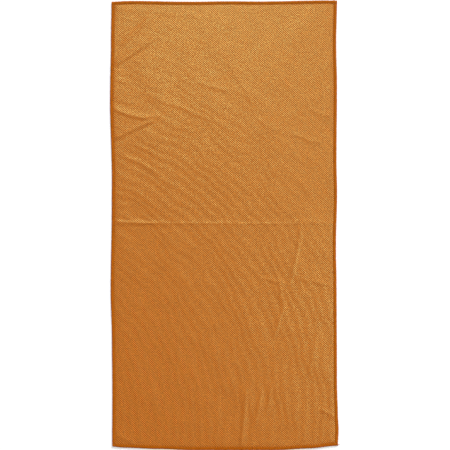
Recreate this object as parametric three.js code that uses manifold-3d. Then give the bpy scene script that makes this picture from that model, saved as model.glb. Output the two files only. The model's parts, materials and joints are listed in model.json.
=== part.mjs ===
// A quick-dry travel towel, laid flat and face up. Millimetres, +Z up, the towel's length along Y.
//
// One rectangle of mesh-knit microfibre is finished on all four sides by a three-thread overlock seam.
// Each side's seam is a needle thread, which runs along the face of the cloth, an upper looper thread,
// which covers the edge's face, and a lower looper thread, which covers its back. The two looper threads
// meet round the edge. The threads are drawn as the layers that their stitches make, at their real sizes.
//
// The towel folds in half about one line across it. Each piece that crosses that line is two solids,
// one in the lower half and one in the upper half.
import * as THREE from "three";
import { mergeVertices } from "three/addons/utils/BufferGeometryUtils.js";
import Module from "manifold-3d";

// The whole towel
const WIDTH = 402;
const LENGTH = 800;
const FOLD_Y = 3.4; // the fold line, measured from the middle of the length
const GAP = 0.3; // between solids that touch
const STEP = 12; // between the corners of a wandering edge

// The cloth
const CLOTH_THICKNESS = 1.2;
const RIM_THICKNESS = 0.5; // where the seam squeezes it

// The overlock seam, whose widths are measured inwards from the towel's edge
const THREAD_LAYER = 0.45; // thickness of a layer of looper thread
const LOOPER_WIDTH = 5.2;
const NEEDLE_WIDTH = 0.4;

// The chain of thread that is left at the end of a seam
const TAIL_ROOT_RADIUS = 0.6;
const TAIL_TIP_RADIUS = 0.3;
const CORNER_TAIL_LENGTH = 2.8;
const TOP_TAIL_LENGTH = 1.2;
const TOP_TAIL_INSET = 5.5; // from the top seam's right end

const CLOTH_COLOR = 0xc47c38;
const THREAD_COLOR = 0xb0560f;

// Heights of the seam's layers, from the surface that the towel lies on
const RIM_BOTTOM = THREAD_LAYER + GAP;
const RIM_TOP = RIM_BOTTOM + RIM_THICKNESS;
const TOP_LAYER_BOTTOM = RIM_TOP + GAP;
const SEAM_TOP = TOP_LAYER_BOTTOM + THREAD_LAYER;
const LIP_MIDDLE = SEAM_TOP / 2; // where the two looper threads meet round the edge

// Widths inside the seam
const RIM_INSET = THREAD_LAYER + GAP;
const NEEDLE_START = LOOPER_WIDTH + GAP;
const SEAM_REACH = NEEDLE_START + NEEDLE_WIDTH;
const SLAB_INSET = SEAM_REACH + GAP;

// The four sides, anticlockwise seen from above. Soft cloth doesn't lie quite straight, so each side's
// wander gives [place along the side as a share of its half length, how far the edge stands out there].
const SIDES = {
  bottom: {
    along: "x",
    out: -1,
    forward: 1,
    wander: [[-1, -6.5], [-0.92, -4], [-0.55, -1.5], [-0.3, 0.5], [0.45, 0.5], [0.75, -2.6], [1, -7.5]],
  },
  right: {
    along: "y",
    out: 1,
    forward: 1,
    wander: [[-1, 0.6], [-0.95, 1], [-0.912, 2.3], [-0.86, 0.7], [-0.7, -0.9], [-0.275, -1.6], [-0.1, -2.7],
      [0.15, -0.7], [0.275, -1.8], [0.625, -0.9], [0.81, -2.3], [1, -0.9]],
  },
  top: {
    along: "x",
    out: 1,
    forward: -1,
    wander: [[-1, -2.2], [-0.85, -0.6], [-0.3, -2], [0.05, -1.2], [0.3, -1.6], [0.92, 0.4], [1, 0]],
  },
  left: {
    along: "y",
    out: -1,
    forward: -1,
    wander: [[-1, -0.5], [-0.75, -0.9], [-0.5, -0.1], [-0.29, 2.1], [0.05, 0.2], [0.21, 0], [0.555, 3.2],
      [0.825, 1.6], [1, 0.7]],
  },
};

const halfAlong = (side) => (side.along === "x" ? WIDTH : LENGTH) / 2;
const halfAcross = (side) => (side.along === "x" ? LENGTH : WIDTH) / 2;

// How far a side's edge stands out at a place along it, easing from one point of its wander to the next.
function wanderAt(side, along) {
  const share = THREE.MathUtils.clamp(along / halfAlong(side), -1, 1);
  const next = Math.max(1, side.wander.findIndex(([place]) => place >= share));
  const [[placeA, outA], [placeB, outB]] = [side.wander[next - 1], side.wander[next]];
  return THREE.MathUtils.lerp(outA, outB, THREE.MathUtils.smoothstep(share, placeA, placeB));
}

// The point in plan that is a distance inwards from a side's edge.
function edgePoint(side, along, inward) {
  const across = side.out * (halfAcross(side) + wanderAt(side, along) - inward);
  return side.along === "x" ? new THREE.Vector2(along, across) : new THREE.Vector2(across, along);
}

// Places along a side from low to high, in the direction in which the side is walked. Pieces that lie
// along the same side have their corners at the same places, so that the gaps between them are even.
function placesAlong(side, low, high) {
  const places = [low];
  for (let place = Math.ceil(low / STEP + 0.1) * STEP; place < high - 0.1 * STEP; place += STEP) {
    places.push(place);
  }
  places.push(high);
  return side.forward > 0 ? places : places.reverse();
}

// A closed solid swept along a side. The section is a list of [inward, height] points.
function sweepAlong(side, low, high, section) {
  const rings = placesAlong(side, low, high).map((along) =>
    section.map(([inward, z]) => {
      const p = edgePoint(side, along, inward);
      return [p.x, p.y, z];
    }),
  );
  const size = section.length;
  const faces = [];
  for (let ring = 0; ring < rings.length - 1; ring++) {
    for (let i = 0; i < size; i++) {
      const [a, b] = [ring * size + i, ring * size + ((i + 1) % size)];
      faces.push(a, b, b + size, a, b + size, a + size);
    }
  }
  const last = (rings.length - 1) * size;
  const outline = section.map(([inward, z]) => new THREE.Vector2(inward, z));
  for (const [a, b, c] of THREE.ShapeUtils.triangulateShape(outline, [])) {
    faces.push(a, c, b, last + a, last + b, last + c);
  }
  const geometry = new THREE.BufferGeometry();
  geometry.setAttribute("position", new THREE.Float32BufferAttribute(rings.flat(2), 3));
  geometry.setIndex(faces);
  return geometry;
}

// Where a side seam starts and ends: it runs between the top and bottom seams.
const sideSeamLow = (side) => edgePoint(SIDES.bottom, side.out * WIDTH / 2, SEAM_REACH + GAP).y;
const sideSeamHigh = (side) => edgePoint(SIDES.top, side.out * WIDTH / 2, SEAM_REACH + GAP).y;

// The halves of the towel: where each one lies along Y, and the seam that closes its end.
const HALVES = {
  lower: { low: -Infinity, high: FOLD_Y - GAP / 2, end: "bottom" },
  upper: { low: FOLD_Y + GAP / 2, high: Infinity, end: "top" },
};

// Half of the cloth's outline, anticlockwise, at a distance inside the towel's edge.
function halfOutline(half, inset) {
  const isLower = half === HALVES.lower;
  const fold = isLower ? half.high : half.low;
  const end = SIDES[half.end];
  const cornerX = (side) => edgePoint(side, end.out * LENGTH / 2, inset).x;
  const cornerY = (side) => edgePoint(end, side.out * WIDTH / 2, inset).y;
  const sidePoints = (side) => {
    const [low, high] = isLower ? [cornerY(side), fold] : [fold, cornerY(side)];
    return placesAlong(side, low, high).map((y) => edgePoint(side, y, inset));
  };
  const endPoints = placesAlong(end, cornerX(SIDES.left), cornerX(SIDES.right))
    .slice(1, -1)
    .map((x) => edgePoint(end, x, inset));
  return isLower
    ? [...endPoints, ...sidePoints(SIDES.right), ...sidePoints(SIDES.left)]
    : [...sidePoints(SIDES.right), ...endPoints, ...sidePoints(SIDES.left)];
}

function slab(outline, low, high) {
  const geometry = new THREE.ExtrudeGeometry(new THREE.Shape(outline), {
    depth: high - low,
    bevelEnabled: false,
  });
  return geometry.translate(0, 0, low);
}

const wasm = await Module();
wasm.setup();

function toSolid(geometry) {
  const bare = geometry.clone().deleteAttribute("normal").deleteAttribute("uv");
  const merged = mergeVertices(bare, 1e-4);
  return new wasm.Manifold(
    new wasm.Mesh({
      numProp: 3,
      vertProperties: merged.attributes.position.array,
      triVerts: new Uint32Array(merged.index.array),
    }),
  );
}

function toGeometry(solid) {
  const { numProp, vertProperties, triVerts } = solid.getMesh();
  const geometry = new THREE.BufferGeometry();
  const positions = new THREE.InterleavedBuffer(vertProperties, numProp);
  geometry.setAttribute("position", new THREE.InterleavedBufferAttribute(positions, 3, 0));
  geometry.setIndex(new THREE.BufferAttribute(triVerts, 1));
  return geometry;
}

// Half of the cloth: a thick slab inside the seam, and a thin rim that the seam squeezes.
function clothHalf(half) {
  const middle = toSolid(slab(halfOutline(half, SLAB_INSET), 0, CLOTH_THICKNESS));
  const rim = toSolid(slab(halfOutline(half, RIM_INSET), RIM_BOTTOM, RIM_TOP));
  return toGeometry(middle.add(rim));
}

// Sections of a seam's three threads, as [inward, height] points, anticlockwise.
const NEEDLE_SECTION = [
  [NEEDLE_START, TOP_LAYER_BOTTOM],
  [NEEDLE_START + NEEDLE_WIDTH, TOP_LAYER_BOTTOM],
  [NEEDLE_START + NEEDLE_WIDTH, SEAM_TOP],
  [NEEDLE_START, SEAM_TOP],
];
const UPPER_LOOPER_SECTION = [
  [0, LIP_MIDDLE + GAP / 2],
  [THREAD_LAYER, LIP_MIDDLE + GAP / 2],
  [THREAD_LAYER, TOP_LAYER_BOTTOM],
  [LOOPER_WIDTH, TOP_LAYER_BOTTOM],
  [LOOPER_WIDTH, SEAM_TOP],
  [0, SEAM_TOP],
];
const LOWER_LOOPER_SECTION = [
  [0, 0],
  [LOOPER_WIDTH, 0],
  [LOOPER_WIDTH, THREAD_LAYER],
  [THREAD_LAYER, THREAD_LAYER],
  [THREAD_LAYER, LIP_MIDDLE - GAP / 2],
  [0, LIP_MIDDLE - GAP / 2],
];
const THREADS = {
  needle_thread: NEEDLE_SECTION,
  upper_looper_thread: UPPER_LOOPER_SECTION,
  lower_looper_thread: LOWER_LOOPER_SECTION,
};

const material = (color, roughness) => new THREE.MeshStandardMaterial({ color, roughness, metalness: 0 });

function named(name, geometry, look) {
  const mesh = new THREE.Mesh(geometry, look);
  mesh.name = name;
  return mesh;
}

// The three threads of one seam, or of the stretch of it from low to high, which the suffix names.
function seam(sideName, low, high, suffix = "") {
  const group = new THREE.Group();
  for (const [thread, section] of Object.entries(THREADS)) {
    const geometry = sweepAlong(SIDES[sideName], low, high, section);
    group.add(named(`${sideName}_${thread}${suffix}`, geometry, material(THREAD_COLOR, 0.7)));
  }
  return group;
}

// A tapered end of thread chain that points along a direction in plan.
function threadTail(name, root, direction, length) {
  const geometry = new THREE.CylinderGeometry(TAIL_TIP_RADIUS, TAIL_ROOT_RADIUS, length, 8);
  geometry.translate(0, length / 2, 0);
  const mesh = named(name, geometry, material(THREAD_COLOR, 0.75));
  mesh.position.set(root.x, root.y, LIP_MIDDLE);
  mesh.rotation.z = Math.atan2(direction.y, direction.x) - Math.PI / 2;
  return mesh;
}

function towelHalf(name, half) {
  const group = new THREE.Group();
  group.add(named(`cloth_${name}_half`, clothHalf(half), material(CLOTH_COLOR, 0.9)));

  const endY = SIDES[half.end].out * LENGTH / 2;
  const [left, right] = [edgePoint(SIDES.left, endY, 0).x, edgePoint(SIDES.right, endY, 0).x];
  group.add(seam(half.end, left, right));

  for (const sideName of ["left", "right"]) {
    const side = SIDES[sideName];
    const low = Math.max(half.low, sideSeamLow(side));
    const high = Math.min(half.high, sideSeamHigh(side));
    group.add(seam(sideName, low, high, `_${name}_half`));
  }
  return group;
}

const towel = new THREE.Group();
towel.add(towelHalf("lower", HALVES.lower), towelHalf("upper", HALVES.upper));

const bottomRight = edgePoint(SIDES.right, -LENGTH / 2, 0).x;
const cornerTailRoot = edgePoint(SIDES.bottom, bottomRight, LOOPER_WIDTH / 2);
cornerTailRoot.x += GAP;
const [rightwards, upwards] = [new THREE.Vector2(1, 0), new THREE.Vector2(0, 1)];
towel.add(threadTail("bottom_thread_tail", cornerTailRoot, rightwards, CORNER_TAIL_LENGTH));

const topRight = edgePoint(SIDES.right, LENGTH / 2, 0).x;
const topTailRoot = edgePoint(SIDES.top, topRight - TOP_TAIL_INSET, -GAP);
towel.add(threadTail("top_thread_tail", topTailRoot, upwards, TOP_TAIL_LENGTH));

export default towel;
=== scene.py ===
"""The looks of a quick-dry travel towel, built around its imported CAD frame.

The towel lies flat and face up, with its length along Y. Sizes are in metres, apart from the tables that
say that they are in millimetres.
"""
import json
import math

import bpy
import numpy as np
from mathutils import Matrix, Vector


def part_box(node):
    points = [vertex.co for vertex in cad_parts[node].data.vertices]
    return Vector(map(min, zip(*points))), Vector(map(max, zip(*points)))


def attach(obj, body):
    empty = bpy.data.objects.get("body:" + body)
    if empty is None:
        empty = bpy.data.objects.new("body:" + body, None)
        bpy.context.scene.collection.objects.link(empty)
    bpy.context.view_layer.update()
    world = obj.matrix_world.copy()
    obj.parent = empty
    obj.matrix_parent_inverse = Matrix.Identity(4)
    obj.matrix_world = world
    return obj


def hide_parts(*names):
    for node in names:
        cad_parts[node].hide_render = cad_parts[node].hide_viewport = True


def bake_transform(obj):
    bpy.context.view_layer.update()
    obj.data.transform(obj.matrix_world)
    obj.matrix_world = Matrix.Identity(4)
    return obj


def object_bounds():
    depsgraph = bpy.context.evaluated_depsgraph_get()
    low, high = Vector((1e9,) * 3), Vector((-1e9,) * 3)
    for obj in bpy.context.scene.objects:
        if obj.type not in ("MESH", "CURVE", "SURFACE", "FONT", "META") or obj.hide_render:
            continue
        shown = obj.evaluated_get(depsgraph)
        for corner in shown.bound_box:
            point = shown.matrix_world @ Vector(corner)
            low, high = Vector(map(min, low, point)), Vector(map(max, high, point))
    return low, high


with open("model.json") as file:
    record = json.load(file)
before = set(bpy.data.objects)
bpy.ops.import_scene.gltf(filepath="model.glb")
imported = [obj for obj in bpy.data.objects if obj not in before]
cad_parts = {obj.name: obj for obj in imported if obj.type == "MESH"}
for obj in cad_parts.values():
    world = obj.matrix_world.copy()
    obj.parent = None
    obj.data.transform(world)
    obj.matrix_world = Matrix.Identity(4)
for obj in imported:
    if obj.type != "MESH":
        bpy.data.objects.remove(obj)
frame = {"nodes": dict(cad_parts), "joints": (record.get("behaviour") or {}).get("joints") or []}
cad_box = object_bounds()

MM = 0.001
SEED = 11

# The CAD's own sizes
FOLD_Y = frame["joints"][0]["pos_m"][1]
CLOTH_LOW, CLOTH_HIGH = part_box("cloth_lower_half")
CLOTH_THICKNESS = CLOTH_HIGH.z - CLOTH_LOW.z
HALF_WIDTH = (cad_box[1].x - cad_box[0].x) / 2
HALF_LENGTH = (cad_box[1].y - cad_box[0].y) / 2

# The seam, measured inwards from the towel's edge to the needle thread
SEAM_WIDTH = 5.6 * MM
SEAM_END = 0.15 * MM  # from each end of a side to its seam
STITCH_PITCH = 2.67 * MM

# The cloth's rim, which lies inside the looper threads and is squeezed by them
RIM_INSET = 0.75 * MM
RIM_THICKNESS = 0.8 * MM
RIM_BOTTOM = 0.45 * MM
SQUEEZE_FADE = 3 * MM  # beside the seam, where the cloth swells to its own thickness
NEEDLE_DENT, NEEDLE_DENT_WIDTH = 0.28 * MM, 0.7 * MM  # in the face, along the needle thread
# Painted shade: under the seam the cloth takes the thread's shade colour, which fades out beside it.
FULL_SHADE, NO_SHADE = SEAM_WIDTH - 0.9 * MM, SEAM_WIDTH + 0.3 * MM  # under the seam, and beside it

# The cloth's mesh: an even grid, with more lines near the rim and at the fold
GRID = 2 * MM
LEAST_SPACING = 0.3 * MM
RIM_LINES = np.array([0.4, 1, 2, 3.2, 4.2, 4.9, 5.5, 6.1, 6.8, 8]) * MM
FOLD_LINES = FOLD_Y + np.arange(-2, 6.01, 0.5) * MM


# ---------------------------------------------------------------- the towel's outline

def smoothstep(x, low, high):
    t = np.clip((x - low) / (high - low), 0, 1)
    return t * t * (3 - 2 * t)


class Side:
    """One side of the towel, with its edge read from the outer corners of its upper looper thread.

    along is the axis that the side follows, 0 for X and 1 for Y, and out is the sign of its way outwards.
    """

    SPACING = 1 * MM
    BLUR = 9  # points that are averaged, so that the edge bends instead of turning corners

    def __init__(self, name, nodes, along, out):
        self.name, self.along, self.out = name, along, out
        self.across = 1 - along
        points = np.concatenate([[v.co[:] for v in frame["nodes"][n].data.vertices] for n in nodes])
        places = np.round(points[:, along], 5)
        stations = np.unique(places)
        edge = np.array([(points[places == s, self.across] * out).max() for s in stations])
        self.low, self.high = stations[0], stations[-1]
        fine = np.arange(stations[0], stations[-1] + self.SPACING, self.SPACING)
        padded = np.pad(np.interp(fine, stations, edge), self.BLUR // 2, mode="edge")
        self.fine = fine
        self.edge = np.convolve(padded, np.ones(self.BLUR) / self.BLUR, "valid")

    def at(self, along):
        """How far from the towel's middle the edge lies, at a place along the side."""
        return self.out * np.interp(along, self.fine, self.edge)

    def inside(self, x, y):
        """How far inside this side a point lies."""
        along, across = (x, y) if self.along == 0 else (y, x)
        return self.out * (self.at(along) - across)

    def point(self, along, inward):
        """Points in plan at places along the side and distances inside its edge."""
        across = self.at(along) - self.out * inward
        return (along, across) if self.along == 0 else (across, along)


def halves_of(stem):
    return [f"{stem}_lower_half", f"{stem}_upper_half"]


SIDES = {
    "bottom": Side("bottom", ["bottom_upper_looper_thread"], along=0, out=-1),
    "right": Side("right", halves_of("right_upper_looper_thread"), along=1, out=1),
    "top": Side("top", ["top_upper_looper_thread"], along=0, out=1),
    "left": Side("left", halves_of("left_upper_looper_thread"), along=1, out=-1),
}


# ---------------------------------------------------------------- how the cloth lies

# Creases from folding and handling: [points in plan], half width, height, all in millimetres. The first one
# is the fold line. A negative height is a groove beside a crease.
CREASES = [
    ([(-300, 3.4), (-120, 3.8), (40, 3.0), (300, 3.4)], 2.2, 0.45),
    ([(-240, 15), (-185, 6), (-150, 4), (-95, 3)], 2.6, 0.70),
    ([(108, 7), (150, 8), (166, 4), (225, 2)], 2.6, 0.70),
    ([(-240, 258), (-170, 302), (-118, 338)], 2.0, 2.10),
    ([(-237, 252), (-167, 296), (-115, 332)], 1.8, -0.80),
    ([(-192, 312), (-157, 346), (-122, 382)], 2.2, 1.20),
    ([(-234, 220), (-172, 197), (-146, 191), (-106, 196)], 2.2, 1.60),
    ([(-220, 142), (-165, 170), (-115, 193)], 2.0, 1.50),
    ([(-217, 136), (-162, 164), (-112, 187)], 1.8, -0.60),
    ([(-225, 276), (-115, 221), (-72, 207), (20, 170)], 2.4, 0.36),
    ([(-14, 325), (31, 248), (45, 225), (56, 192)], 2.4, 0.42),
    ([(48, 196), (74, 179), (108, 160)], 2.4, 0.50),
    ([(-194, 157), (-151, 138), (-105, 115)], 2.4, 0.34),
    ([(-185, 125), (-145, 108), (-105, 87)], 2.4, 0.34),
    ([(116, 166), (148, 152), (180, 143)], 2.4, 0.75),
    ([(140, 210), (178, 196), (225, 180)], 2.4, 1.10),
    ([(138, 24), (131, -38), (113, -120)], 2.0, 1.05),
    ([(120, -93), (162, -101), (206, -111)], 2.4, 0.85),
    ([(60, -93), (88, -99), (120, -107)], 2.2, 0.60),
    ([(90, -76), (105, -144), (80, -224)], 2.4, 0.70),
    ([(40, -272), (34, -345), (26, -420)], 2.0, 1.40),
    ([(68, -285), (60, -325), (52, -370)], 2.2, 0.80),
    ([(86, -274), (79, -310), (72, -346)], 2.2, 0.70),
    ([(165, -185), (158, -230), (148, -272)], 2.4, 0.60),
    ([(-225, -352), (-180, -378), (-148, -399)], 2.4, 0.90),
    ([(160, -322), (190, -337), (232, -357)], 2.4, 0.90),
    ([(-240, 391), (-120, 379), (10, 363)], 2.8, 0.40),
    ([(-60, 258), (-20, 246), (20, 236)], 2.4, 0.50),
    ([(60, 300), (95, 270), (120, 236)], 2.4, 0.50),
    ([(90, 120), (130, 84), (160, 42)], 2.4, 0.50),
]
CREASE_FADE = 0.3  # of a crease's length, at each end
CREST_ROUNDING = 0.8 * MM

# Waves of every direction, and fine ripples in arcs round a point beyond the lower left corner
WAVES = 22
WAVE_LENGTHS = (28 * MM, 110 * MM)
WAVE_SLOPE = 0.014
RIPPLE_CENTRE = (-387 * MM, -350 * MM)
RIPPLE_SPACING = 15.5 * MM
RIPPLE_HEIGHT = 0.115 * MM
RIPPLE_TOP_SHARE = 0.4  # of that height, towards the towel's upper end
RIPPLE_WANDER = 4.5 * MM

LEVEL = 0.22 * MM  # of the back, midway between the waves' troughs and crests
HIGHEST_LIFT = 1.02 * MM
EDGE_SHARE = 0.28  # of the lift, where the stitching holds the edge down
HELD_UP_TO, FREE_FROM = 4 * MM, 13 * MM  # inside the edge


def distance_to_path(x, y, path):
    """The distance from each point to a path, and where the nearest place is along it, from 0 to 1."""
    path = np.array(path, float) * MM
    steps = np.linalg.norm(np.diff(path, axis=0), axis=1)
    starts = np.concatenate([[0], np.cumsum(steps)])
    best, along = np.full(x.shape, np.inf), np.zeros(x.shape)
    for (a, b), step, start in zip(zip(path, path[1:]), steps, starts):
        t = np.clip(((x - a[0]) * (b - a)[0] + (y - a[1]) * (b - a)[1]) / step**2, 0, 1)
        d = np.hypot(x - a[0] - t * (b - a)[0], y - a[1] - t * (b - a)[1])
        nearer = d < best
        best = np.where(nearer, d, best)
        along = np.where(nearer, (start + t * step) / starts[-1], along)
    return best, along


def lift(x, y):
    """How high the towel's back is above the surface it lies on."""
    rng = np.random.default_rng(SEED)
    height, wander = np.full(x.shape, LEVEL), np.zeros(x.shape)
    for _ in range(WAVES):
        angle, phase = rng.uniform(0, math.pi), rng.uniform(0, 2 * math.pi)
        length = rng.uniform(*WAVE_LENGTHS)
        wave = np.sin((x * math.cos(angle) + y * math.sin(angle)) * 2 * math.pi / length + phase)
        height += WAVE_SLOPE / math.sqrt(WAVES / 2) * length / (2 * math.pi) * wave
        wander += wave / math.sqrt(WAVES / 2) * length / WAVE_LENGTHS[1]
    radius = np.hypot(x - RIPPLE_CENTRE[0], y - RIPPLE_CENTRE[1]) + RIPPLE_WANDER * wander
    share = 1 - (1 - RIPPLE_TOP_SHARE) * smoothstep(y, 0, HALF_LENGTH)
    height += RIPPLE_HEIGHT * share * np.sin(radius * 2 * math.pi / RIPPLE_SPACING)
    for path, half_width, crest in CREASES:
        d, along = distance_to_path(x, y, path)
        shape = np.exp(-(np.hypot(d, CREST_ROUNDING) - CREST_ROUNDING) / (half_width * MM))
        starts, ends = smoothstep(along, 0, CREASE_FADE), smoothstep(along, 1 - CREASE_FADE, 1)
        height += crest * MM * shape * starts * (1 - ends)
    inside = np.minimum.reduce([side.inside(x, y) for side in SIDES.values()])
    held = EDGE_SHARE + (1 - EDGE_SHARE) * smoothstep(inside, HELD_UP_TO, FREE_FROM)
    return HIGHEST_LIFT * np.tanh(np.maximum(height, 0) / HIGHEST_LIFT) * held


# ---------------------------------------------------------------- meshes

def make_object(name, points, faces, material, uvs):
    """A smooth mesh object. uvs gives each UV layer by name, with one row for each face corner."""
    mesh = bpy.data.meshes.new(name)
    mesh.from_pydata(points.tolist(), [], faces)
    for layer, coordinates in uvs.items():
        flat = coordinates.astype(np.float32).ravel()
        mesh.uv_layers.new(name=layer).uv.foreach_set("vector", flat)
    mesh.polygons.foreach_set("use_smooth", [True] * len(mesh.polygons))
    mesh.materials.append(material)
    mesh.validate()
    piece = bpy.data.objects.new(name, mesh)
    bpy.context.scene.collection.objects.link(piece)
    return piece


def grid_lines(low, high, step, fine_places):
    """Grid lines from low to high, a step apart, with extra ones at fine_places."""
    even = np.linspace(low, high, int(round((high - low) / step)) + 1)
    lines = np.concatenate([even, [p for p in fine_places if low < p < high]])
    lines = np.unique(np.round(lines, 6))
    keep = np.concatenate([[True], np.diff(lines) > LEAST_SPACING])
    keep[-1] = True
    return lines[keep]


# The baked map holds the cloth's face and its back side by side, each with a margin round it
BAKE_MARGIN = 0.012
BAKE_SIZE = np.array([0.476, 0.976])
BAKE_BACK = np.array([0.5, 0])


def make_cloth(material):
    """The cloth, a closed mesh: its face, its back and the wall round its rim."""
    reach_x, reach_y = HALF_WIDTH - RIM_INSET, HALF_LENGTH - RIM_INSET
    edges_x = np.concatenate([RIM_LINES - reach_x, reach_x - RIM_LINES])
    edges_y = np.concatenate([RIM_LINES - reach_y, reach_y - RIM_LINES, FOLD_LINES])
    across = grid_lines(-reach_x, reach_x, GRID, edges_x)
    along = grid_lines(-reach_y, reach_y, GRID, edges_y)
    u, v = np.meshgrid(across, along)

    # The ends of each grid line are moved to the outline, and the points between them in proportion.
    def fitted(place, reach, low_edge, high_edge):
        low_shift = low_edge + RIM_INSET + reach
        high_shift = high_edge - RIM_INSET - reach
        share = (place / reach + 1) / 2
        return place + low_shift * (1 - share) + high_shift * share

    x = fitted(u, reach_x, SIDES["left"].at(v), SIDES["right"].at(v))
    y = fitted(v, reach_y, SIDES["bottom"].at(u), SIDES["top"].at(u))

    inside = np.minimum.reduce([side.inside(x, y) for side in SIDES.values()])
    squeezed = 1 - smoothstep(inside, SEAM_WIDTH, SEAM_WIDTH + SQUEEZE_FADE)
    back = lift(x, y) + RIM_BOTTOM * squeezed
    thickness = CLOTH_THICKNESS + (RIM_THICKNESS - CLOTH_THICKNESS) * squeezed
    dent = NEEDLE_DENT * np.exp(-(((inside - SEAM_WIDTH) / NEEDLE_DENT_WIDTH) ** 2))
    face = back + thickness - dent

    rows, columns = u.shape
    count = rows * columns
    points = np.concatenate([
        np.stack([x, y, face], -1).reshape(-1, 3),
        np.stack([x, y, back], -1).reshape(-1, 3),
    ])
    index = np.arange(count).reshape(rows, columns)
    corners = (index[:-1, :-1], index[:-1, 1:], index[1:, 1:], index[1:, :-1])
    a, b, c, d = [corner.ravel() for corner in corners]
    face_quads = np.stack([a, b, c, d], -1)
    back_quads = np.stack([d, c, b, a], -1) + count
    rim = np.concatenate([index[0, :-1], index[:-1, -1], index[-1, :0:-1], index[:0:-1, 0]])
    after = np.roll(rim, -1)
    wall_quads = np.stack([rim + count, after + count, after, rim], -1)
    quads = np.concatenate([face_quads, back_quads, wall_quads])

    # The weave runs straight over the cloth. On the baked map, the wall lies just outside the face.
    plan = np.stack([x, y], -1).reshape(-1, 2)
    weave = np.concatenate([plan, plan])[quads]
    share = np.stack([(u / reach_x + 1) / 2, (v / reach_y + 1) / 2], -1).reshape(-1, 2)
    on_face = BAKE_MARGIN + share * BAKE_SIZE
    bake = np.concatenate([on_face, on_face + BAKE_BACK])[quads]
    outward = (share - 0.5) * BAKE_MARGIN
    bake[len(face_quads) + len(back_quads):] = np.stack([
        (on_face + outward)[rim], (on_face + outward)[after], on_face[after], on_face[rim],
    ], 1)
    cloth = make_object("towel_cloth", points, quads.tolist(), material, {
        "weave": weave.reshape(-1, 2) / MM,
        "OFBake": bake.reshape(-1, 2),
    })
    # The share of painted shade under the seam, for the cloth's colour
    under_seam = 1 - smoothstep(inside, FULL_SHADE, NO_SHADE)
    shade = cloth.data.attributes.new("under_seam", "FLOAT", "POINT")
    shade.data.foreach_set("value", np.tile(under_seam.ravel(), 2).astype(np.float32))
    return cloth


def tube(name, path, up, width, height, sides, material):
    """A closed tube along a path, with an oval section whose height is along up."""
    ahead = np.gradient(path, axis=0)
    ahead /= np.linalg.norm(ahead, axis=1)[:, None]
    sideways = np.cross(ahead, up)
    sideways /= np.linalg.norm(sideways, axis=1)[:, None]
    normal = np.cross(sideways, ahead)
    angle = np.arange(sides) * 2 * math.pi / sides
    rings = (
        path[:, None]
        + sideways[:, None] * (np.cos(angle)[:, None] * np.reshape(width, (-1, 1, 1)) / 2)
        + normal[:, None] * (np.sin(angle)[:, None] * np.reshape(height, (-1, 1, 1)) / 2)
    )
    count = len(path)
    index = np.arange(count * sides).reshape(count, sides)
    nxt = np.roll(index, -1, axis=1)
    quads = np.stack([index[:-1], index[1:], nxt[1:], nxt[:-1]], -1).reshape(-1, 4)
    faces = quads.tolist() + [index[0].tolist(), index[-1][::-1].tolist()]

    gone = np.concatenate([[0], np.cumsum(np.linalg.norm(np.diff(path, axis=0), axis=1))])
    turn = np.arange(sides + 1) / sides
    start, end = gone[:-1, None] + 0 * turn[:-1], gone[1:, None] + 0 * turn[:-1]
    low, high = turn[:-1] + 0 * start, turn[1:] + 0 * start
    thread = np.stack([np.stack([start, low], -1), np.stack([end, low], -1),
                       np.stack([end, high], -1), np.stack([start, high], -1)], 2)

    # The baked map cuts the tube's skin into rows that fill a square, with the two caps beside them.
    row_slack, row_width, row_margin = 1.02, 0.97, 0.005
    band_height, band_margin = 0.9, 0.05
    cap_radius, cap_places = 0.004, ([0.99, 0.01], [0.99, 0.03])
    girth = math.pi * float(np.mean(width) + np.mean(height)) / 2
    rows = max(1, round(math.sqrt(gone[-1] / girth)))
    row_length = gone[-1] / rows * row_slack
    row = np.minimum((start / row_length).astype(int), rows - 1)
    into_row = thread[..., 0] - (row * row_length)[..., None]
    bake = thread.copy()
    bake[..., 0] = into_row / row_length * row_width + row_margin
    bake[..., 1] = (row[..., None] + band_margin + band_height * thread[..., 1]) / rows
    cap_disc = np.stack([np.cos(angle), np.sin(angle)], -1) * cap_radius
    cap = np.concatenate([cap_disc + place for place in cap_places])
    cap_thread = np.stack([np.zeros(2 * sides), np.tile(turn[:-1], 2)], 1)
    return make_object(name, rings.reshape(-1, 3), faces, material, {
        "thread": np.concatenate([thread.reshape(-1, 2) * [1 / MM, 1], cap_thread]),
        "OFBake": np.concatenate([bake.reshape(-1, 2), cap]),
    })


# ---------------------------------------------------------------- the overlock seams

# Sections of the layers that the looper threads make, as (inward, height) in millimetres, from the needle
# thread to the middle of the edge
UPPER_WRAP = np.array([
    (5.7, 1.2), (5.0, 1.48), (4.0, 1.66), (2.8, 1.76), (1.7, 1.72), (0.8, 1.52), (0.25, 1.2), (0.12, 0.98),
]) * MM
LOWER_WRAP = np.array([
    (5.5, 0.3), (4.4, 0.22), (2.8, 0.2), (1.5, 0.22), (0.7, 0.34), (0.25, 0.62), (0.14, 0.86),
]) * MM
LOOPER_WIDTH, LOOPER_HEIGHT, LOOPER_SIDES = 1.22 * MM, 0.36 * MM, 6
LOOPER_NARROWEST = 0.42  # of its width, at the two ends of a loop
LOOP_DWELL = 0.65  # below 1, a loop stays longer at its two ends
LOOP_END_PACE = 0.8  # how much faster it goes along the seam there, so that it crosses the seam straight
UNEVEN_PLACE, UNEVEN_REACH = 0.05, 0.03  # the usual error, of a stitch and of a loop's length
SEAM_SPARE = 0.2  # of a stitch, left over in a whole seam
# A looper thread's flat side faces up or down over the cloth, and outwards round its edge.
FACES_OUT, FACES_UP, UP_BIAS = (-1.6 * MM, 0.1 * MM), (-0.2 * MM, 1.2 * MM), 0.05

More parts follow.
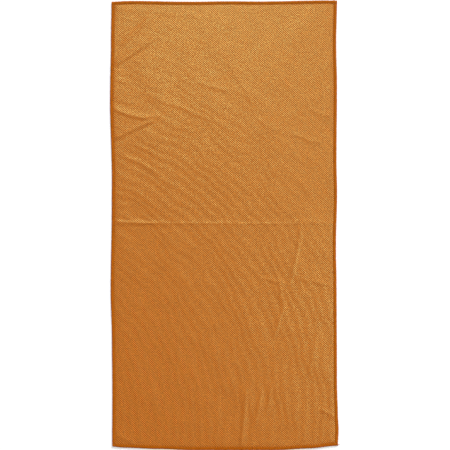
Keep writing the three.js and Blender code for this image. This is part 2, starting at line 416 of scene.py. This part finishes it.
# One stitch of the needle thread, as (share of the stitch, height in millimetres)
NEEDLE_STITCH = [(0, 0.32), (0.07, 0.95), (0.2, 1.55), (0.5, 1.68), (0.8, 1.55), (0.93, 0.95)]
NEEDLE_WIDTH, NEEDLE_HEIGHT, NEEDLE_SIDES = 0.46 * MM, 0.42 * MM, 6

TAIL_ROOT = 1.6 * MM  # the length of each tail that lies inside its seam
TAIL_WIDTH, TAIL_TAPER = 1.15 * MM, 0.75 * MM  # at its root, and how much less at its tip
TAIL_FLATNESS = 0.8  # its height, as a share of its width
TAIL_STEPS, TAIL_SIDES = 26, 8
TAIL_SWAY, TAIL_SWAY_TURN = 0.12 * MM, 9  # sideways, and its radians over the tail
TAIL_KNOBS, TAIL_KNOBS_TURN = 0.12, 26  # of its width, and their radians over the tail


def wrap_at(wrap, share):
    """The point of a wrap section that is a share of its length from the needle thread."""
    gone = np.concatenate([[0], np.cumsum(np.linalg.norm(np.diff(wrap, axis=0), axis=1))])
    return [np.interp(share * gone[-1], gone, wrap[:, k]) for k in (0, 1)]


def seam_points(side, along, inward, height):
    x, y = side.point(along, inward)
    return np.stack([x, y, height + lift(x, y)], -1)


def looper_thread(name, side, low, high, wrap, steps, lag, material, under):
    """A looper thread: a loop for each stitch, from the needle thread round the edge and back."""
    rng = np.random.default_rng([SEED, len(name), ord(name[0]), under])
    stitches = int((high - low) / STITCH_PITCH)
    pitch = (high - low) / (stitches + SEAM_SPARE)
    t = np.arange(stitches * steps + 1) / steps
    whole = np.minimum(t.astype(int), stitches - 1)
    uneven = rng.normal(0, UNEVEN_PLACE, stitches + 1)[whole]
    reach = 1 - np.abs(rng.normal(0, UNEVEN_REACH, stitches + 1))[whole]
    swing = np.cos(2 * math.pi * t)
    out_and_back = (0.5 - 0.5 * np.sign(swing) * np.abs(swing) ** LOOP_DWELL) * reach
    inward, height = wrap_at(wrap, out_and_back)
    ahead_at_ends = LOOP_END_PACE * np.sin(4 * math.pi * t) / (4 * math.pi)
    along = low + pitch * (t + lag + ahead_at_ends + uneven * np.sin(math.pi * (t % 1)))
    path = seam_points(side, along, inward, height)
    outward = np.zeros_like(path)
    outward[:, side.across] = side.out * smoothstep(-inward, *FACES_OUT)
    outward[:, 2] = (-1 if under else 1) * smoothstep(inward, *FACES_UP) + UP_BIAS
    spread = LOOPER_NARROWEST + (1 - LOOPER_NARROWEST) * np.sin(2 * math.pi * t) ** 2
    return tube(name, path, outward, LOOPER_WIDTH * spread, LOOPER_HEIGHT, LOOPER_SIDES, material)


def needle_thread(name, side, low, high, material):
    """The needle thread: straight stitches on the face, with a dip through the cloth between them."""
    stitches = int((high - low) / STITCH_PITCH)
    pitch = (high - low) / (stitches + SEAM_SPARE)
    shares, heights = zip(*NEEDLE_STITCH)
    along = np.concatenate([[k + share for share in shares] for k in range(stitches)] + [[stitches]])
    height = np.concatenate([heights] * stitches + [[heights[0]]]) * MM
    start = low + pitch * SEAM_SPARE / 2
    path = seam_points(side, start + pitch * along, np.full(along.shape, SEAM_WIDTH), height)
    # The thread stands up in each dip, so its section is steadied by the direction across the seam.
    across = np.zeros_like(path)
    across[:, side.across] = 1
    return tube(name, path, across, NEEDLE_HEIGHT, NEEDLE_WIDTH, NEEDLE_SIDES, material)


def chain_tail(name, root, tip, material):
    """The trimmed chain of thread at a seam's end, as one tapered and slightly knobbly tube."""
    root, tip = np.array(root), np.array(tip)
    t = np.linspace(0, 1, TAIL_STEPS)
    ahead = (tip - root) / np.linalg.norm(tip - root)
    sideways = np.cross(ahead, [0, 0, 1])
    sway = TAIL_SWAY * np.sin(t * TAIL_SWAY_TURN)[:, None] * sideways
    path = root + (tip - root) * t[:, None] + sway
    size = (TAIL_WIDTH - TAIL_TAPER * t**2) * (1 + TAIL_KNOBS * np.cos(t * TAIL_KNOBS_TURN))
    up = np.tile([0.0, 0, 1], (TAIL_STEPS, 1))
    return tube(name, path, up, size, size * TAIL_FLATNESS, TAIL_SIDES, material)


# ---------------------------------------------------------------- materials

class Shader:
    """A new node material, with short calls for the nodes that it needs."""

    def __init__(self, name):
        self.material = bpy.data.materials.new(name)
        self.material.use_nodes = True
        self.tree = self.material.node_tree
        self.bsdf = next(n for n in self.tree.nodes if n.type == "BSDF_PRINCIPLED")

    def node(self, kind, inputs=(), **settings):
        made = self.tree.nodes.new(kind)
        for key, value in settings.items():
            setattr(made, key, value)
        for key, value in dict(inputs).items():
            self.put(value, made.inputs[key])
        return made

    def even(self, values):
        """Values that are the same all over the surface, by the name of the surface shader's socket."""
        for name, value in values.items():
            self.bsdf.inputs[name].default_value = value

    def put(self, value, socket):
        if isinstance(value, bpy.types.NodeSocket):
            self.tree.links.new(value, socket)
        else:
            socket.default_value = value

    def math(self, operation, *values):
        return self.node("ShaderNodeMath", enumerate(values), operation=operation).outputs[0]

    def ramp(self, value, low, high, start=0.0, end=1.0):
        """value moved from the range low to high into start to end, smoothly and clamped."""
        made = self.node("ShaderNodeMapRange", {0: value, 1: low, 2: high, 3: start, 4: end})
        made.interpolation_type = "SMOOTHSTEP"
        return made.outputs[0]

    def mix(self, share, a, b):
        made = self.node("ShaderNodeMix", data_type="RGBA")
        for value, key in ((share, 0), (a, 6), (b, 7)):
            self.put(value, made.inputs[key])
        return made.outputs[2]

    def noise(self, vector, scale, detail=2.0, roughness=0.5):
        return self.node("ShaderNodeTexNoise", {
            "Vector": vector, "Scale": scale, "Detail": detail, "Roughness": roughness,
        }).outputs[0]

    def map_xy(self, layer):
        vector = self.node("ShaderNodeUVMap", uv_map=layer).outputs[0]
        split = self.node("ShaderNodeSeparateXYZ", {0: vector})
        return vector, split.outputs[0], split.outputs[1]

    def wave(self, x, y, cycles_x, cycles_y):
        """The cosine of a plane wave, with its cycles per unit of x and of y."""
        at = self.math("ADD", self.math("MULTIPLY", x, cycles_x * 2 * math.pi),
                       self.math("MULTIPLY", y, cycles_y * 2 * math.pi))
        return self.math("COSINE", at)


# Colours are linear. The pores are the openings of the knit, and the crowns its highest loops.
# The knit's rows are real; the pores' dark colour is painted shade, and the crowns' light colour a painted
# highlight.
PORE_SHADE_COLOUR = (0.105, 0.006, 0.0001, 1)
YARN_COLOUR = (0.45, 0.081, 0.0006, 1)
CROWN_HIGHLIGHT_COLOUR = (0.85, 0.216, 0.001, 1)
THREAD_SHADE = (0.27, 0.038, 0.0002, 1)
THREAD_COLOUR = (0.58, 0.132, 0.0004, 1)
THREAD_LIGHT = (0.74, 0.195, 0.001, 1)

# The mesh knit's two sets of slanting rows, as cycles per millimetre along x and y. The first is bolder.
ROWS_A, SHARE_A = (0.228, 0.2635), 0.56
ROWS_B, SHARE_B = (0.2635, -0.2635), 0.44
ROW_DRIFTS = ((0.02, 1.2), (0.11, 0.3))  # cycles per millimetre, and reach in millimetres
LOOP_COLUMNS, LOOP_LEAN, LOOP_ROWS = 0.9, 0.25, 1.9
UNEVEN_SCALE, FUZZ_SCALE, PATCH_SCALE = 0.33, 2.2, 0.045
# The ranges of the knit's height, from -1 in a pore to 1 on a crown, over which each of these grows
YARN_GROWS, CROWN_GROWS, RELIEF_GROWS = (-0.55, -0.02), (-0.05, 0.5), (-0.8, 0.05)
MIDDLE_NOISE = (0.3, 0.7)  # the range that holds most of a noise's values
# How much of another colour each adds, and its part in the relief
LOOP_SHADE, FUZZ_RANGE, FUZZ_SHARE, PATCH_SHARE = 0.10, (0.35, 0.8), 0.25, 0.07
LOOP_RELIEF, FUZZ_RELIEF = 0.05, 0.11

CROWN_ROUGHNESS = (0.25, 0.37)
SHADED_ROUGHNESS = 0.5  # more than a crown's, in the pores and under the seam
CLOTH_SURFACE = {
    "IOR": 1.6,
    "Specular IOR Level": 1.0,
    "Specular Tint": (0.72, 0.93, 0.34, 1),
    "Sheen Weight": 0.05,
    "Sheen Roughness": 0.4,
    "Sheen Tint": (1.0, 0.7, 0.45, 1),
}
CLOTH_BUMP = {"Strength": 0.7, "Distance": 0.24 * MM}

TWIST_ALONG, TWIST_AROUND = 1.1, 2.0  # turns of a thread's twist per millimetre, and its strands
FIBRE_SCALE, FIBRE_RANGE, FIBRE_SHARE = 6.0, (0.35, 0.75), 0.4
WEAR_SCALE, WEAR_RANGE, WEAR_SHARE = 0.05, (0.4, 0.7), 0.3
THREAD_ROUGHNESS = (0.42, 0.58)
THREAD_SURFACE = {
    "Specular IOR Level": 0.5,
    "Specular Tint": (1.0, 0.8, 0.1, 1),
    "Sheen Weight": 0.02,
    "Sheen Roughness": 0.35,
    "Sheen Tint": (1.0, 0.6, 0.3, 1),
}
THREAD_BUMP = {"Strength": 0.6, "Distance": 0.08 * MM}

FLOOR_COLOURS = ((0.93, 0.93, 0.93, 1), (0.97, 0.97, 0.97, 1))
FLOOR_GRAIN = 90.0
FLOOR_SURFACE = {"Roughness": 0.9}


def cloth_material():
    """The mesh knit: dark pores between slanting rows, with fine loops, fuzz and glossy crowns."""
    s = Shader("mesh_knit_microfibre")
    vector, x, y = s.map_xy("weave")
    for scale, reach in ROW_DRIFTS:
        drift = s.node("ShaderNodeTexNoise", {"Vector": vector, "Scale": scale, "Detail": 1.0}).outputs[1]
        split = s.node("ShaderNodeSeparateColor", {0: drift})
        x = s.math("ADD", x, s.math("MULTIPLY_ADD", split.outputs[0], 2 * reach, -reach))
        y = s.math("ADD", y, s.math("MULTIPLY_ADD", split.outputs[1], 2 * reach, -reach))
    rows_b = s.math("MULTIPLY", s.wave(x, y, *ROWS_B), SHARE_B)
    rows = s.math("MULTIPLY_ADD", s.wave(x, y, *ROWS_A), SHARE_A, rows_b)
    uneven = s.noise(vector, UNEVEN_SCALE, detail=1.0)
    cells = s.math("ADD", rows, s.math("SUBTRACT", uneven, 0.5))
    loops = s.wave(s.math("ABSOLUTE", s.wave(x, y, LOOP_COLUMNS, 0.0)), y, LOOP_LEAN, LOOP_ROWS)
    fuzz = s.noise(vector, FUZZ_SCALE, detail=3.0, roughness=0.65)
    patches = s.noise(vector, PATCH_SCALE, detail=2.0)

    yarn = s.ramp(cells, *YARN_GROWS)
    crown = s.ramp(cells, *CROWN_GROWS)
    # Painted shade in the pores and a painted highlight on the crowns, over the knit's pattern
    colour = s.mix(yarn, PORE_SHADE_COLOUR, YARN_COLOUR)
    colour = s.mix(crown, colour, CROWN_HIGHLIGHT_COLOUR)
    colour = s.mix(s.math("MULTIPLY_ADD", loops, LOOP_SHADE, LOOP_SHADE), colour, PORE_SHADE_COLOUR)
    colour = s.mix(s.ramp(fuzz, *FUZZ_RANGE, 0.0, FUZZ_SHARE), colour, YARN_COLOUR)
    colour = s.mix(s.ramp(patches, *MIDDLE_NOISE, 0.0, PATCH_SHARE), colour, PORE_SHADE_COLOUR)
    seam = s.node("ShaderNodeAttribute", attribute_name="under_seam").outputs["Fac"]
    # Painted shade: the cloth under the seam takes the thread's shade colour
    colour = s.mix(seam, colour, THREAD_SHADE)
    s.put(colour, s.bsdf.inputs["Base Color"])
    shaded = s.math("MAXIMUM", s.math("SUBTRACT", 1.0, crown), seam)
    smoothest = s.ramp(fuzz, *MIDDLE_NOISE, *CROWN_ROUGHNESS)
    roughness = s.math("MULTIPLY_ADD", shaded, SHADED_ROUGHNESS, smoothest)
    s.put(roughness, s.bsdf.inputs["Roughness"])
    s.even(CLOTH_SURFACE)

    fine = s.math("MULTIPLY_ADD", loops, LOOP_RELIEF, s.math("MULTIPLY", fuzz, FUZZ_RELIEF))
    height = s.math("ADD", s.ramp(cells, *RELIEF_GROWS), fine)
    bump = s.node("ShaderNodeBump", {**CLOTH_BUMP, "Height": height})
    s.put(bump.outputs[0], s.bsdf.inputs["Normal"])
    return s.material


def thread_material():
    """Twisted thread, with loose fibres that catch the light and darker, worn stretches."""
    s = Shader("overlock_thread")
    vector, along, around = s.map_xy("thread")
    twist = s.wave(along, around, TWIST_ALONG, TWIST_AROUND)
    fibres = s.noise(vector, FIBRE_SCALE, detail=3.0, roughness=0.7)
    worn = s.noise(vector, WEAR_SCALE, detail=2.0)
    # Painted shade in the grooves of the twist
    colour = s.mix(s.ramp(twist, -1, 1), THREAD_SHADE, THREAD_COLOUR)
    colour = s.mix(s.ramp(fibres, *FIBRE_RANGE, 0.0, FIBRE_SHARE), colour, THREAD_LIGHT)
    colour = s.mix(s.ramp(worn, *WEAR_RANGE, 0.0, WEAR_SHARE), colour, THREAD_SHADE)
    s.put(colour, s.bsdf.inputs["Base Color"])
    s.put(s.ramp(fibres, *MIDDLE_NOISE, *THREAD_ROUGHNESS), s.bsdf.inputs["Roughness"])
    s.even(THREAD_SURFACE)
    height = s.math("MULTIPLY_ADD", twist, 0.5, s.math("MULTIPLY", fibres, 0.5))
    bump = s.node("ShaderNodeBump", {**THREAD_BUMP, "Height": height})
    s.put(bump.outputs[0], s.bsdf.inputs["Normal"])
    return s.material


def floor_material():
    s = Shader("pale_floor")
    vector = s.node("ShaderNodeTexCoord").outputs["Object"]
    grain = s.noise(vector, FLOOR_GRAIN, detail=3.0)
    s.put(s.mix(grain, *FLOOR_COLOURS), s.bsdf.inputs["Base Color"])
    s.even(FLOOR_SURFACE)
    return s.material


# ---------------------------------------------------------------- the towel's pieces

def across_fold(piece):
    """Bakes the piece's placement into its mesh; nothing here makes it bend at the fold line."""
    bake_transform(piece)


def make_seam(side, low, high, material):
    """The three threads of one side's seam, by the name of the thread in the CAD."""
    return {
        "needle_thread": needle_thread(f"{side.name}_needle_stitching", side, low, high, material),
        "upper_looper_thread": looper_thread(
            f"{side.name}_upper_looper_loops", side, low, high, UPPER_WRAP,
            steps=12, lag=0.1, material=material, under=False),
        "lower_looper_thread": looper_thread(
            f"{side.name}_lower_looper_loops", side, low, high, LOWER_WRAP,
            steps=10, lag=0.3, material=material, under=True),
    }


# Each tail: its seam, the body it rides on, and how much of its CAD node's width and length it runs over
TAILS = (
    ("bottom", "lower_half", (0.9, 0.35)),
    ("top", "upper_half", (0.2, 1.0)),
)


def make_towel():
    """The towel's pieces with their finish, in place of CAD parts; the end seams and tails ride on a half.
    """
    cloth_look, thread_look = cloth_material(), thread_material()
    cloth = make_cloth(cloth_look)
    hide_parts(*halves_of("cloth"))
    across_fold(cloth)

    for side in SIDES.values():
        seam = make_seam(side, side.low + SEAM_END, side.high - SEAM_END, thread_look)
        for thread, piece in seam.items():
            if side.along == 1:
                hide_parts(*halves_of(f"{side.name}_{thread}"))
                across_fold(piece)
            else:
                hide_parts(f"{side.name}_{thread}")
                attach(piece, "lower_half" if side.name == "bottom" else "upper_half")

    for name, body, run in TAILS:
        low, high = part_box(f"{name}_thread_tail")
        middle = (low + high) / 2
        size = high - low
        reach = Vector((run[0] * size.x / 2, run[1] * size.y / 2, 0))
        root = middle - reach - reach.normalized() * TAIL_ROOT
        tail = chain_tail(f"{name}_chain_tail", root, middle + reach, thread_look)
        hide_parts(f"{name}_thread_tail")
        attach(tail, body)


# ---------------------------------------------------------------- the studio

VIEW_HEIGHT = 0.801  # of floor, from the bottom of the view to its top
VIEW_CENTRE = (0.0005, 0.0004)
LENS, SENSOR = 85.0, 36.0  # in millimetres
FLOOR_REACH = 30.0
FLOOR_DROP = 0.05 * MM  # below the towel's lowest point
SKY_LOW, SKY_HIGH = 0.74, 0.10  # how bright the sky is at the horizon and overhead
SKY_FADE = (0.0, 0.5)  # the height, as a share of straight up, over which it darkens


def make_camera():
    data = bpy.data.cameras.new("camera")
    data.lens, data.sensor_width = LENS, SENSOR
    distance = VIEW_HEIGHT / 2 * LENS / (SENSOR / 2)
    camera = bpy.data.objects.new("camera", data)
    camera.location = (*VIEW_CENTRE, distance)
    bpy.context.scene.collection.objects.link(camera)
    bpy.context.scene.camera = camera


def make_floor():
    mesh = bpy.data.meshes.new("floor")
    corners = [(x * FLOOR_REACH, y * FLOOR_REACH, 0) for x, y in ((-1, -1), (1, -1), (1, 1), (-1, 1))]
    mesh.from_pydata(corners, [], [(0, 1, 2, 3)])
    mesh.materials.append(floor_material())
    floor = bpy.data.objects.new("floor", mesh)
    floor.location.z = -FLOOR_DROP
    bpy.context.scene.collection.objects.link(floor)


def aim(light, location):
    """Places a light and points it at the middle of the towel."""
    light.location = location
    light.rotation_mode = "QUATERNION"
    light.rotation_quaternion = Vector(location).to_track_quat("Z", "Y")
    bpy.context.scene.collection.objects.link(light)


def make_softbox(name, location, size, energy):
    data = bpy.data.lights.new(name, "AREA")
    data.size, data.energy = size, energy
    aim(bpy.data.objects.new(name, data), location)


def make_sun(name, location, spread, energy):
    data = bpy.data.lights.new(name, "SUN")
    data.angle, data.energy = math.radians(spread), energy
    aim(bpy.data.objects.new(name, data), location)


def make_world():
    """A white sky, brightest at the horizon, so that a low view has a pale background."""
    world = bpy.data.worlds.new("studio")
    world.use_nodes = True
    tree = world.node_tree
    background = next(n for n in tree.nodes if n.type == "BACKGROUND")
    place = tree.nodes.new("ShaderNodeTexCoord")
    split = tree.nodes.new("ShaderNodeSeparateXYZ")
    fade = tree.nodes.new("ShaderNodeMapRange")
    fade.interpolation_type = "SMOOTHSTEP"
    for key, value in enumerate((*SKY_FADE, SKY_LOW, SKY_HIGH), 1):
        fade.inputs[key].default_value = value
    tree.links.new(place.outputs["Generated"], split.inputs[0])
    tree.links.new(split.outputs[2], fade.inputs[0])
    tree.links.new(fade.outputs[0], background.inputs["Strength"])
    background.inputs["Color"].default_value = (1, 1, 1, 1)
    bpy.context.scene.world = world


def make_studio():
    make_camera()
    make_floor()
    make_sun("key_sun", location=(0.72, 1.55, 0.67), spread=14, energy=3.2)
    make_softbox("top_softbox", location=(-0.1, 1.5, 4.0), size=1.1, energy=72)
    make_softbox("right_softbox", location=(1.4, -0.5, 4.0), size=1.1, energy=54)
    make_world()
    bpy.context.scene.view_settings.view_transform = "Standard"


make_studio()
make_towel()
